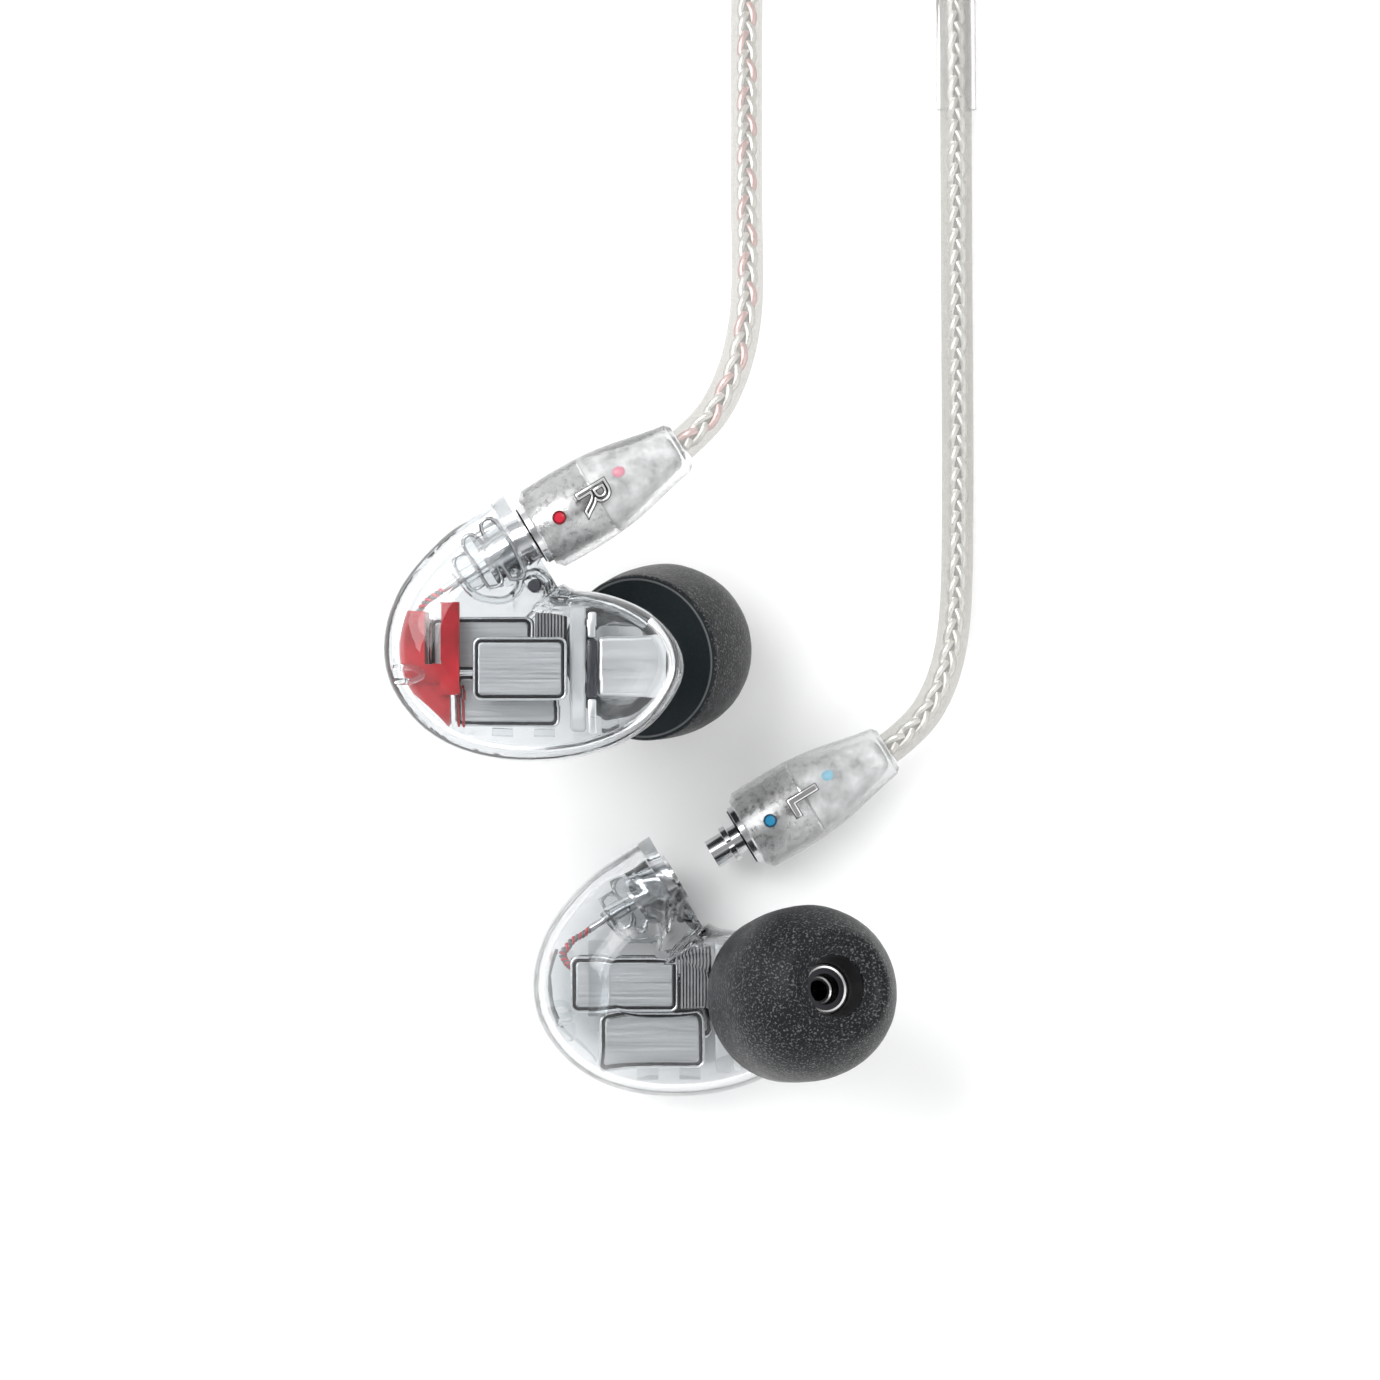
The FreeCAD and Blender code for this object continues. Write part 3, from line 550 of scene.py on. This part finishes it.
def main_route():
    out = [in_coil(x, y, z) for x, y, z in (
        (-5.0, -2.4, 3.1), (-5.0, -4.0, 3.1), (-4.6, -6.6, 3.2), (-2.4, -8.6, 3.6), (0.9, -8.9, 4.4))]
    rise = [on_coil(295, 8.8, 5.4), on_coil(317, 8.9, 6.4),
            on_coil(340, 9.6, LAYER[2]), on_coil(2, 11.2, LAYER[2])]
    places = [(r, LAYER[2]) for r in RING] + [(r, LAYER[3]) for r in reversed(RING)]
    places += [(r, LAYER[4]) for r in RING]
    top = LAYER[4]
    last = [on_coil(345, 17.2, top), on_coil(6, 18.1, top), on_coil(26, 18.9, top - 0.8)]
    last += [on_coil(26 + 27 * i, LEAD_R, top - 0.8 - 1.6 * i) for i in range(1, 6)]
    west = -LEAD_R
    beside = [in_coil(west - 0.15, -0.4, LAYER[0] + 0.2), in_coil(west + 0.2, -9.0, 1.9),
              in_coil(west + 0.25, -15.8, PLUG_AXIS_Z)]
    return out + rise + wound(places, 5.0, 27.5) + last + beside


def nurbs(name, points):
    """A smooth curve guided by points, from the first to the last."""
    curve = bpy.data.curves.new(name, "CURVE")
    curve.dimensions = "3D"
    spline = curve.splines.new("NURBS")
    spline.points.add(len(points) - 1)
    for target, point in zip(spline.points, points):
        target.co = (*(point * MM), 1)
    spline.order_u = 3
    spline.use_endpoint_u = True
    curve.resolution_u = 8
    return link(bpy.data.objects.new(name, curve))


def centreline(obj):
    """The points, in millimetres, of a cord's own smooth line."""
    mesh = bpy.data.meshes.new_from_object(obj.evaluated_get(bpy.context.evaluated_depsgraph_get()))
    points = [v.co / MM for v in mesh.vertices]
    bpy.data.meshes.remove(mesh)
    return points


def resampled(points, spacing):
    """Points along a line, spacing apart."""
    out = [points[0]]
    left = spacing
    for a, b in zip(points, points[1:]):
        run = (b - a).length
        while run >= left:
            a = a.lerp(b, left / run)
            out.append(a)
            run = (b - a).length
            left = spacing
        left -= run
    return out


PLAIT_PITCH, PLAIT_WIDE, PLAIT_DEEP, PLAIT_STEP = 5.1, 0.38, 0.20, 0.34
STRAND_R, PLAIT_CORE_R, STRAND_SIDES = 0.27, 0.30, 6


def plait(name, line, materials):
    """Three strands plaited along a line, round a core: a material for each."""
    path = resampled(line, PLAIT_STEP)
    across = frames_along(path)
    parts = []
    for strand in range(3):
        offset = 2 * math.pi * strand / 3
        run = []
        for i, (centre, (u, v)) in enumerate(zip(path, across)):
            phase = 2 * math.pi * i * PLAIT_STEP / PLAIT_PITCH + offset
            run.append(centre + u * (PLAIT_WIDE * math.sin(phase)) + v * (PLAIT_DEEP * math.sin(2 * phase)))
        parts.append(swept(run, STRAND_R, STRAND_SIDES))
    # the core takes the last material, which the cords give as painted shade between strands
    parts.append(swept(path, PLAIT_CORE_R, STRAND_SIDES))
    points, faces = joined(parts)
    obj = mesh_piece(name, points, faces, materials[0])
    for extra in materials[1:]:
        obj.data.materials.append(extra)
    share = len(faces) // 4
    for i, polygon in enumerate(obj.data.polygons):
        polygon.material_index = min(i // share, len(materials) - 1)
    return obj


def cord(name, points, replaced, materials):
    """A cord: the braided conductors inside a clear jacket."""
    obj = nurbs(name, points)
    braid = plait(name + "_braid", centreline(obj), materials)
    obj.data.bevel_depth = CORD_R * MM
    obj.data.bevel_resolution = 5
    obj.data.use_fill_caps = True
    obj.data.materials.append(JACKET)
    for piece in (obj, braid):
        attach(piece, "cable")
    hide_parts(*replaced)


def cords():
    for side, route, height, third in (("right", right_route(), LAYER[0], ROSE_STRAND),
                                       ("left", left_route(), LAYER[1], STRAND)):
        cord("ear_cord_" + side, route + ear_turns(height, STEP / 2),
             [side + "_cord"], [STRAND, STRAND, third, STRAND_GAP_SHADE])
    main = main_route()
    cord("main_cord", main, ["plug_lead", "cable_coil"],
         [STRAND, STRAND, STRAND, STRAND_GAP_SHADE])


# ======== foam tips ========
FOAM_SIDES, FOAM_STEPS = 144, 4
FOAM_BACK_POINTS = 3             # of the profile below, on the flat back


def foam_profile():
    """(distance from the back, radius) pairs: up the flat back, over the round nose and into the bore."""
    return [(0.0, TIP_CORE_R), (0.0, 4.5), (0.0, 6.05), (0.09, 6.33), (0.36, 6.46), (1.2, 6.58),
            (2.6, 6.70), (4.4, 6.74), (5.9, 6.60), (7.2, 6.24), (8.3, 5.70), (9.3, 4.98), (9.95, 4.36),
            (10.15, 3.95), (10.05, 3.55), (9.75, 3.15), (9.6, 2.75), (9.56, 2.46), (9.40, 2.36),
            (9.33, 2.45), (9.33, TIP_CORE_R)]


def foam_tip(side):
    """The foam with its slightly uneven skin, and a pale ring round its back as a painted highlight on the
    back's rim.
    """
    line = catmull([Vector((a, r, 0)) for a, r in foam_profile()], FOAM_STEPS)
    line = [(max(p.x, 0.0), max(p.y, 2.3)) for p in line]
    points, faces = revolved(line, TIP_BASE, TIP_AXIS, FOAM_SIDES)
    out = []
    for point in points:
        away = point - TIP_BASE
        along = away.dot(TIP_AXIS)
        radial = away - TIP_AXIS * along
        swell = 0.05 * noise.noise(point * 0.35) + 0.022 * noise.noise(point * 2.1)
        if along > 0.5 and radial.length > TIP_CORE_R + 0.2:
            point = point + radial.normalized() * (swell - 0.03)
        out.append(in_frame(side, point))
    obj = mesh_piece(f"{side}_foam", out, faces, FOAM_SKIN)
    obj.data.materials.append(FOAM_BACK)
    for i, polygon in enumerate(obj.data.polygons):
        polygon.material_index = 1 if i // FOAM_SIDES < FOAM_STEPS * FOAM_BACK_POINTS else 0
    outward(obj)
    obj.data.shade_smooth()
    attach(obj, side + "_tip")
    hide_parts(side + "_foam_tip")
    # a pale ring on the back's rim: painted highlight
    points, faces = revolved([(0.0, 6.02), (-0.03, 6.10), (0.0, 6.18), (0.05, 6.18), (0.05, 6.02)],
                             TIP_BASE, TIP_AXIS, FOAM_SIDES)
    lip = mesh_piece(f"{side}_foam_rim_highlight", [in_frame(side, p) for p in points], faces, FOAM_RIM_HIGHLIGHT)
    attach(outward(lip), side + "_tip")


# ======== inside the earpieces ========
def rim(x0, x1, y0, y1, depth, corner=0.5, thick=0.11):
    """The folded edge round a can's lid."""
    path = []
    for cx, cy, start in ((x1, y1, 0), (x0, y1, 90), (x0, y0, 180), (x1, y0, 270)):
        dx = cx - math.copysign(corner, cx - (x0 + x1) / 2)
        dy = cy - math.copysign(corner, cy - (y0 + y1) / 2)
        for k in range(7):
            turn = math.radians(start + 15 * k)
            path.append(Vector((dx + corner * math.cos(turn), dy + corner * math.sin(turn), -depth)))
    path.append(path[0].copy())
    return swept(path, thick, 8)


CANS = (                         # x from and to, y from and to, depth from and to
    (-7.70, 0.30, -10.15, -6.05, 4.5, 9.4),      # low driver
    (-5.60, 2.30, -14.40, -10.35, 4.5, 7.6),     # middle driver
    (-4.10, 2.90, -12.30, -7.60, 1.45, 4.2),     # high driver
)


def driver_details(side):
    """Bright folded rims, dark rings inside them and thin dark lines round the cans' sides as painted shade,
    and brushed lids, on both faces of each can.
    """
    rims, shade_lines, lids = [], [], []
    for x0, x1, y0, y1, near, far in CANS:
        for depth, lid_near in ((near + 0.10, near - 0.10), (far - 0.10, far - 0.10)):
            rims.append(rim(x0 + 0.06, x1 - 0.06, y0 + 0.06, y1 - 0.06, depth))
            # dark ring between rim and lid: painted shade of the gap
            shade_lines.append(rim(x0 + 0.27, x1 - 0.27, y0 + 0.27, y1 - 0.27, depth, 0.36, 0.13))
            lids.append(rounded_block(x0 + 0.40, x1 - 0.40, y0 + 0.40, y1 - 0.40,
                                      lid_near, lid_near + 0.2, 0.32))
        # thin dark lines round each can's sides: painted shade of its outline
        for depth in (near + 0.45, far - 0.45):
            shade_lines.append(rim(x0, x1, y0, y1, depth, 0.5, 0.05))
    ear_piece(side, "can_rims", rims, RIM, 80)
    ear_piece(side, "can_shade_lines", shade_lines, BLACK_SEAL_AND_SHADE, 80)
    ear_piece(side, "can_lids", lids, STEEL, 12)
    # A black block in the gap beside the filter plates: painted shade.
    gap_shade = [rounded_block(0.50, 2.85, -9.80, -5.72, 4.62, 9.28, 0.05)]
    ear_piece(side, "filter_gap_shade", gap_shade, BLACK_SEAL_AND_SHADE)
    if side == "left":
        band = [rounded_block(-6.45, -5.05, -10.45, -5.75, 9.55, 9.9, 0.15)]
        ear_piece(side, "cradle_band", band, MOULDED)


def carrier_details(side):
    """Bright spring frames round the socket's carrier, and the socket's ribs."""
    axis = Vector((ALONG.x, ALONG.y, 0))
    across = Vector((-ALONG.y, ALONG.x, 0))
    base = Vector((0, 0, -AXIS_DEPTH))
    parts = []
    for start, half, thick in ((-2.1, 2.1, 0.16), (-3.9, 1.75, 0.14), (-5.2, 1.2, 0.13)):
        loop = []
        for a, b in ((-0.6, -half), (0.6, -half), (0.6, half), (-0.6, half), (-0.6, -half)):
            loop.append(base + axis * (start + a) + across * b + Vector((0, 0, 1.9 * half / 2.1)))
        parts.append(swept(catmull(loop, 5), thick, 8))
    ear_piece(side, "spring_frames", parts, CHROME, 80)
    rings = []
    for distance in (-2.75, -3.6):
        profile = [(distance - 0.16, 1.95), (distance - 0.16, 2.2),
                   (distance + 0.16, 2.2), (distance + 0.16, 1.95)]
        rings.append(revolved(profile, base, axis, 48))
    ear_piece(side, "socket_rings", rings, CHROME)


def nozzle_rings(side):
    """The bright lips of the nozzle and of its insert, seen down the tip's bore."""
    lips = []
    for distance, inner, outer in ((7.5, 1.62, 1.9), (6.35, 0.95, 1.17)):
        profile = [(distance - 0.1, inner), (distance + 0.05, inner), (distance + 0.12, (inner + outer) / 2),
                   (distance + 0.05, outer), (distance - 0.1, outer)]
        lips.append(revolved(profile, TIP_BASE, TIP_AXIS, 64))
    ear_piece(side, "nozzle_lips", lips, RING_STEEL)


WEB = [(-5.5, -2.7), (-3.95, -4.4), (-1.9, -4.75), (-0.75, -4.0), (-0.45, -3.1), (0.45, -2.75), (1.45, -3.4),
       (1.55, -4.4), (2.6, -4.85), (4.4, -4.75), (6.6, -5.35), (8.9, -6.6)]


def web(side):
    """The flowing clear wall that parts the socket's bay from the drivers."""
    line = catmull([Vector((x, y, 0)) for x, y in WEB], 8)
    points, faces = [], []
    levels = (1.5, 1.9, 5.2, 5.6)
    half = {1.5: 0.14, 1.9: 0.3, 5.2: 0.3, 5.6: 0.14}
    for i, point in enumerate(line):
        ahead = (line[min(i + 1, len(line) - 1)] - line[max(i - 1, 0)]).normalized()
        normal = Vector((-ahead.y, ahead.x, 0))
        sides = [point + normal * half[d] + Vector((0, 0, -d)) for d in levels]
        sides += [point - normal * half[d] + Vector((0, 0, -d)) for d in reversed(levels)]
        points += sides
    count = 2 * len(levels)
    for i in range(len(line) - 1):
        for k in range(count):
            after = (k + 1) % count
            faces.append((i * count + k, i * count + after, (i + 1) * count + after, (i + 1) * count + k))
    faces.append(tuple(range(count)))
    faces.append(tuple(reversed(range((len(line) - 1) * count, len(line) * count))))
    ear_piece(side, "web", [(points, faces)], MOULDED, 60)
    peg = revolved([(-0.2, 0.0001), (-0.2, 0.42), (-0.05, 0.5), (3.2, 0.5), (3.2, 0.0001)],
                   Vector((0.5, -3.7, -1.6)), Vector((0, 0, -1)), 32, closed=False)
    ear_piece(side, "peg", [peg], SMOKE)


def twisted_wires(side):
    """A red and a dark wire twisted together from the socket's rear pin to the low driver."""
    start = Vector((0, 0, -AXIS_DEPTH)) - ALONG * 7.3
    line = catmull([start, start + Vector((-0.8, -0.55, 0.05)), Vector((-7.9, -4.9, -4.0)),
                    Vector((-8.5, -5.9, -4.3)), Vector((-8.2, -6.6, -5.2)), Vector((-7.75, -6.9, -6.0))], 14)
    across = frames_along(line)
    for k, (name, material) in enumerate((("live_wire", RED_WIRE), ("ground_wire", DARK_WIRE))):
        run = []
        for i, (centre, (u, v)) in enumerate(zip(line, across)):
            turn = i * 0.75 + math.pi * k
            run.append(centre + u * (0.17 * math.cos(turn)) + v * (0.17 * math.sin(turn)))
        piece = ear_piece(side, name, [swept(run, 0.12, 8)], material, 80)
    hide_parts(side + "_signal_wires")


def small_mouldings(side):
    """The damper bar, the nozzle's bed, the red lead-out strips and the clear locating pin."""
    bed = [rounded_block(5.0, 8.8, -12.2, -6.6, 6.1, 6.4, 0.8)]
    ear_piece(side, "nozzle_bed", bed, MILKY)
    damper = [rounded_block(4.45, 5.2, -12.1, -7.7, 2.3, 5.0, 0.2)]
    ear_piece(side, "damper", damper, SMOKE)
    bars = [rounded_block(4.5, 5.15, y0, y1, 2.3, 4.4, 0.2) for y0, y1 in ((-7.6, -5.7), (-14.7, -12.2))]
    ear_piece(side, "damper_ends", bars, SATIN)
    pin = [Vector((-9.9, -10.75, -2.4)), Vector((-8.6, -10.8, -2.35)), Vector((-7.9, -10.35, -2.35)),
           Vector((-8.6, -9.85, -2.35)), Vector((-9.9, -9.8, -2.4))]
    ear_piece(side, "locating_pin", [swept(catmull(pin, 8), 0.24, 10)], MOULDED, 80)
    if side == "right":
        strips = [swept([Vector((x, y, z)) for y, z in ((-11.2, -4.25), (-12.9, -4.3), (-14.5, -4.35))],
                        0.1, 8) for x in (-5.35, -4.95)]
        ear_piece(side, "lead_strips", strips, RED, 80)


# ======== boots ========
UP = Vector((0, 0, 1))
JOINT_SIDE = Vector((-ALONG.y, ALONG.x, 0))         # the side where the coloured wire shows
AXIS_R = 0.0001                  # a profile's end on its axis
DOT_AT, DOT_R, DOT_EDGE_R, DOT_SUNK = 2.0, 0.38, 0.53, 0.28
LETTER_AT, LETTER_SIZE = 5.0, 3.5
JOINT_FROM, JOINT_STEP, JOINT_R = 6.9, 0.15, 0.44
MARKS = {                        # wire end, dot, dot's edge, slot
    "right": (PINK_SPOT, RED_DOT, DARK_RED, "red_mark"),
    "left": (BLUE_SPOT, BLUE_DOT, DARK_BLUE, "blue_mark"),
}


def boot_base(side):
    """The end of the boot that faces the socket, on the plug's axis."""
    return SOCKET[side] + ALONG * BOOT_GAP[side]


def cable_piece(side, name, shape, material):
    """A closed piece from (points, faces), riding on the cable."""
    obj = mesh_piece(f"{side}_{name}", *shape, material)
    sharpened(outward(obj))
    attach(obj, "cable")
    return obj


def boot(side):
    """What shows through a boot's frosted wall, and the seal on its plug's flange."""
    ferrule = [(0.30, AXIS_R), (0.30, 2.05), (0.45, 2.15), (5.0, 2.15), (5.15, 2.05), (5.15, AXIS_R)]
    core = [(5.2, AXIS_R), (5.2, 2.2), (6.0, 2.15), (8.0, 1.75), (10.2, 1.3), (11.9, 0.9), (12.2, AXIS_R)]
    core = [(p.x, max(p.y, AXIS_R)) for p in catmull([Vector((a, r, 0)) for a, r in core], 4)]
    seal = [(-0.58, 1.30), (-0.58, 2.25), (-0.52, 2.32), (-0.46, 2.25), (-0.46, 1.30)]
    for name, profile, material, slot, closed in (
            ("ferrule", ferrule, FERRULE, "bright_metal", False),
            ("resin_core", core, PALE_RESIN, "frosted_boot", False),
            ("flange_seal", seal, BLACK_SEAL_AND_SHADE, "plug_rubber", True)):
        cable_piece(side, name, revolved(profile, boot_base(side), ALONG, 64, closed), material)


def boot_marks(side):
    """The coloured wire end in the boot, and the dot with its darker edge on it."""
    wire_end, colour, edge_colour, slot = MARKS[side]
    run = [boot_base(side) + ALONG * (JOINT_FROM + JOINT_STEP * i) + JOINT_SIDE * 0.55
           + UP * (1.62 - 0.2 * JOINT_STEP * i) for i in range(9)]
    bead = swept(run, 0, 16, lambda i: JOINT_R * math.sqrt(max(1 - ((i - 4) / 4.05) ** 2, 0.001)))
    cable_piece(side, "wire_joint", bead, wire_end)
    top = boot_base(side) + ALONG * DOT_AT + UP * (BOOT_R - DOT_SUNK)
    dot = [(0.0, AXIS_R), (0.0, DOT_R), (0.34, DOT_R), (0.34, AXIS_R)]
    edge = [(0.0, DOT_R - 0.01), (0.0, DOT_EDGE_R), (0.38, DOT_EDGE_R), (0.38, 0.42), (0.30, DOT_R - 0.01)]
    cable_piece(side, "dot", revolved(dot, top, UP, 40, False), colour)
    piece = cable_piece(side, "dot_edge", revolved(edge, top, UP, 40), edge_colour)
    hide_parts(side + "_boot_mark")


def boot_letter(side):
    """The raised R, in outline, or L, with a dark copy under it as painted shade along its edges."""
    turn = Matrix.Rotation(math.atan2(ALONG.y, ALONG.x) - math.pi / 2, 4, "Z")
    for name, thick, lift, material in (("letter", 0.09, 0.06, LETTERING),
                                        # the dark copy beneath: painted shade along the letter's edges
                                        ("letter_shade_edge", 0.15, -0.06, BLACK_SEAL_AND_SHADE)):
        text = bpy.data.curves.new(f"{side}_{name}", "FONT")
        text.body = "R" if side == "right" else "L"
        text.size = LETTER_SIZE * MM
        text.align_x, text.align_y = "CENTER", "CENTER"
        text.fill_mode = "NONE" if side == "right" else "BOTH"
        text.extrude = 0.06 * MM
        text.bevel_depth = thick * MM
        text.bevel_resolution = 3
        text.materials.append(material)
        sign = link(bpy.data.objects.new(f"{side}_{name}", text))
        place = boot_base(side) + ALONG * LETTER_AT + UP * (BOOT_R + lift)
        sign.matrix_world = Matrix.Translation(place * MM) @ turn
        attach(sign, "cable")


# ======== the CAD nodes' own finish ========
FINISH = {
    "outer_shell": SHELL, "inner_shell": SHELL, "socket": CHROME, "socket_contact": CHROME,
    "socket_carrier": MOULDED, "low_driver": CAN_SIDE, "middle_driver": CAN_SIDE, "high_driver": CAN_SIDE,
    "filter_plates": PLATE, "gasket": MILKY, "manifold": SATIN, "locating_ribs": MOULDED,
    # the nozzle and its insert: steel painted dark as shade down the bore
    "nozzle": BORE_SHADE_STEEL, "nozzle_insert": BORE_SHADE_STEEL, "nozzle_collar": PALE_METAL, "tip_core": CORE_RUBBER,
    "plug_body": CHROME, "plug_contact": GOLD, "snap_ring": CHROME, "boot": FROSTED,
}
CABLE_FINISH = {
    "cord_sleeves": SLEEVE, "y_split": FROSTED, "slider": FROSTED, "coil_tie": STRAP, "plug_relief": BLACK,
    "plug_grip": BLACK, "plug_contacts": GOLD, "plug_insulators": BLACK,
}


FLAT_SIDED = ("driver", "gasket", "manifold", "ribs", "carrier", "cradle", "plates", "slider", "y_split")
FLAT_ANGLE = 12.0                # keeps the shading of small fillets off the flats beside them


def finish_node(name, material):
    obj = frame["nodes"][name]
    obj.data.materials.clear()
    obj.data.materials.append(material)
    sharpened(obj, FLAT_ANGLE if any(word in name for word in FLAT_SIDED) else 35.0)


def finish_nodes():
    for side in SIDES:
        for name, material in FINISH.items():
            finish_node(f"{side}_{name}", material)
        finish_node(side + "_cradle", RED if side == "right" else MOULDED)
    for name, material in CABLE_FINISH.items():
        finish_node(name, material)


camera()
stage()
cords()
finish_nodes()
for ear_side in SIDES:
    foam_tip(ear_side)
    driver_details(ear_side)
    carrier_details(ear_side)
    nozzle_rings(ear_side)
    web(ear_side)
    twisted_wires(ear_side)
    small_mouldings(ear_side)
    boot(ear_side)
    boot_marks(ear_side)
    boot_letter(ear_side)
